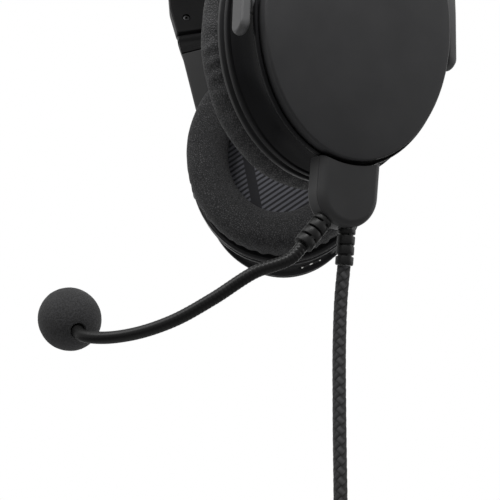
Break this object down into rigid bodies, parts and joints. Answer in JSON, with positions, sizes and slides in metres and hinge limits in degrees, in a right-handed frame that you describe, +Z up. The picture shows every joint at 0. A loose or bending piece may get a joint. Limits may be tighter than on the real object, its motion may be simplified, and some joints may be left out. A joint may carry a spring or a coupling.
{
  "type": "aviation headset",
  "caption": "Over-ear headset with tilting cups on swivelling, folding, extending arms, a sprung headband, and a plug-in boom microphone with a tied cord and plug.",
  "frame": {"origin": "middle of the headband pad's underside, where a head or a hook holds the headset up", "axes": "+Z up through the crown, +X towards the wearer's left cup, -Y the way the wearer faces"},
  "size_m": [0.1688, 0.1243, 0.5193],
  "materials": {
    "satin_shell": "satin",
    "cap_plate": "satin",
    "flange_plastic": "semi gloss",
    "leather": "pebbled",
    "scrim_cloth": "woven",
    "yoke_grey": "satin",
    "steel": "brushed",
    "band_cover": "satin",
    "suede": "napped",
    "module_plastic": "satin",
    "rubber": "matte",
    "gooseneck": "ribbed satin",
    "foam": "open foam",
    "braid": "braided",
    "board_green": "solder mask",
    "driver_black": "matte",
    "battery_grey": "foil",
    "light_white": "translucent",
    "plated_metal": "polished"
  },
  "bodies": {
    "headband": {"band_spring_core": "steel", "band_cover": "band_cover", "band_pad": "suede", "left_housing": "band_cover", "left_housing_screw": "steel", "right_housing": "band_cover", "right_housing_screw": "steel"},
    "left_slider": {"left_slider": "steel"},
    "left_hinge": {"left_fold_knuckle": "yoke_grey", "left_fold_pin": "steel"},
    "left_yoke": {"left_yoke": "yoke_grey", "left_front_tilt_pin": "steel", "left_back_tilt_pin": "steel"},
    "left_cup": {"left_cup_shell": "satin_shell", "left_cup_cap": "cap_plate", "left_baffle": "flange_plastic", "left_cushion": "leather", "left_scrim": "scrim_cloth", "left_driver": "driver_black", "left_circuit_board": "board_green", "left_front_bush": "yoke_grey", "left_back_bush": "yoke_grey", "left_jack_socket": "plated_metal"},
    "mic_module": {"module_front_shell": "module_plastic", "module_back_shell": "module_plastic", "module_board": "board_green", "module_jack": "plated_metal", "boom_strain_relief": "rubber", "cord_strain_relief": "rubber", "cord_hanging": "braid", "cord_hank": "braid", "hank_tie": "rubber", "plug_handle": "rubber", "plug_pin": "plated_metal"},
    "mic_boom": {"boom_gooseneck": "gooseneck", "mic_capsule": "plated_metal", "mic_foam": "foam"},
    "right_slider": {"right_slider": "steel"},
    "right_hinge": {"right_fold_knuckle": "yoke_grey", "right_fold_pin": "steel"},
    "right_yoke": {"right_yoke": "yoke_grey", "right_front_tilt_pin": "steel", "right_back_tilt_pin": "steel"},
    "right_cup": {"right_cup_shell": "satin_shell", "right_cup_cap": "cap_plate", "right_baffle": "flange_plastic", "right_cushion": "leather", "right_scrim": "scrim_cloth", "right_driver": "driver_black", "right_circuit_board": "board_green", "right_front_bush": "yoke_grey", "right_back_bush": "yoke_grey", "charging_socket": "plated_metal", "status_light": "light_white", "battery": "battery_grey"},
    "power_switch": {"power_switch": "yoke_grey"},
    "volume_up_button": {"volume_up_button": "yoke_grey"},
    "action_button": {"action_button": "yoke_grey"},
    "volume_down_button": {"volume_down_button": "yoke_grey"}
  },
  "joints": [
    {"name": "left_extend", "type": "slide", "parent": "headband", "child": "left_slider", "axis": [-0.1414, 0.2291, -0.9631], "range_m": [0, 0.02]},
    {"name": "left_fold", "type": "hinge", "parent": "left_slider", "child": "left_hinge", "pos_m": [0.07571, 0.01655, -0.06957], "axis": [0, 0.9729, 0.2314], "range_deg": [0, 35]},
    {"name": "left_swivel", "type": "hinge", "parent": "left_hinge", "child": "left_yoke", "pos_m": [0.06564, 0.03286, -0.13814], "axis": [-0.1414, 0.2291, -0.9631], "range_deg": [-60, 30]},
    {"name": "left_tilt", "type": "hinge", "parent": "left_yoke", "child": "left_cup", "pos_m": [0.06359, 0.0385, -0.13811], "axis": [0.341, -0.94, -0.005], "range_deg": [-3.5, 16]},
    {"name": "right_extend", "type": "slide", "parent": "headband", "child": "right_slider", "axis": [0.1414, 0.2291, -0.9631], "range_m": [0, 0.02]},
    {"name": "right_fold", "type": "hinge", "parent": "right_slider", "child": "right_hinge", "pos_m": [-0.07571, 0.01655, -0.06957], "axis": [0, 0.9729, 0.2314], "range_deg": [-85, 0]},
    {"name": "right_swivel", "type": "hinge", "parent": "right_hinge", "child": "right_yoke", "pos_m": [-0.06564, 0.03286, -0.13814], "axis": [-0.1414, -0.2291, 0.9631], "range_deg": [-60, 30]},
    {"name": "right_tilt", "type": "hinge", "parent": "right_yoke", "child": "right_cup", "pos_m": [-0.06445, 0.03874, -0.13818], "axis": [-0.1988, -0.98, 0.0064], "range_deg": [-16, 3.5]},
    {"name": "module_unplug", "type": "slide", "parent": "left_cup", "child": "mic_module", "axis": [-0.1689, -0.0561, -0.984], "range_m": [0, 0.016]},
    {"name": "boom_swing", "type": "hinge", "parent": "mic_module", "child": "mic_boom", "pos_m": [0.05823, 0.02522, -0.20463], "axis": [0.9247, 0.3364, -0.1779], "range_deg": [-15, 15]},
    {"name": "power_slide", "type": "slide", "parent": "right_cup", "child": "power_switch", "axis": [-0.2641, -0.2692, 0.9262], "range_m": [0, 0.004]},
    {"name": "volume_up_press", "type": "slide", "parent": "right_cup", "child": "volume_up_button", "axis": [-0.2523, -0.9218, 0.2943], "range_m": [0, 0.0006], "stiffness_N_per_m": 700},
    {"name": "action_press", "type": "slide", "parent": "right_cup", "child": "action_button", "axis": [-0.2764, -0.8328, 0.4797], "range_m": [0, 0.0006], "stiffness_N_per_m": 700},
    {"name": "volume_down_press", "type": "slide", "parent": "right_cup", "child": "volume_down_button", "axis": [-0.2893, -0.6912, 0.6623], "range_m": [0, 0.0006], "stiffness_N_per_m": 700}
  ]
}
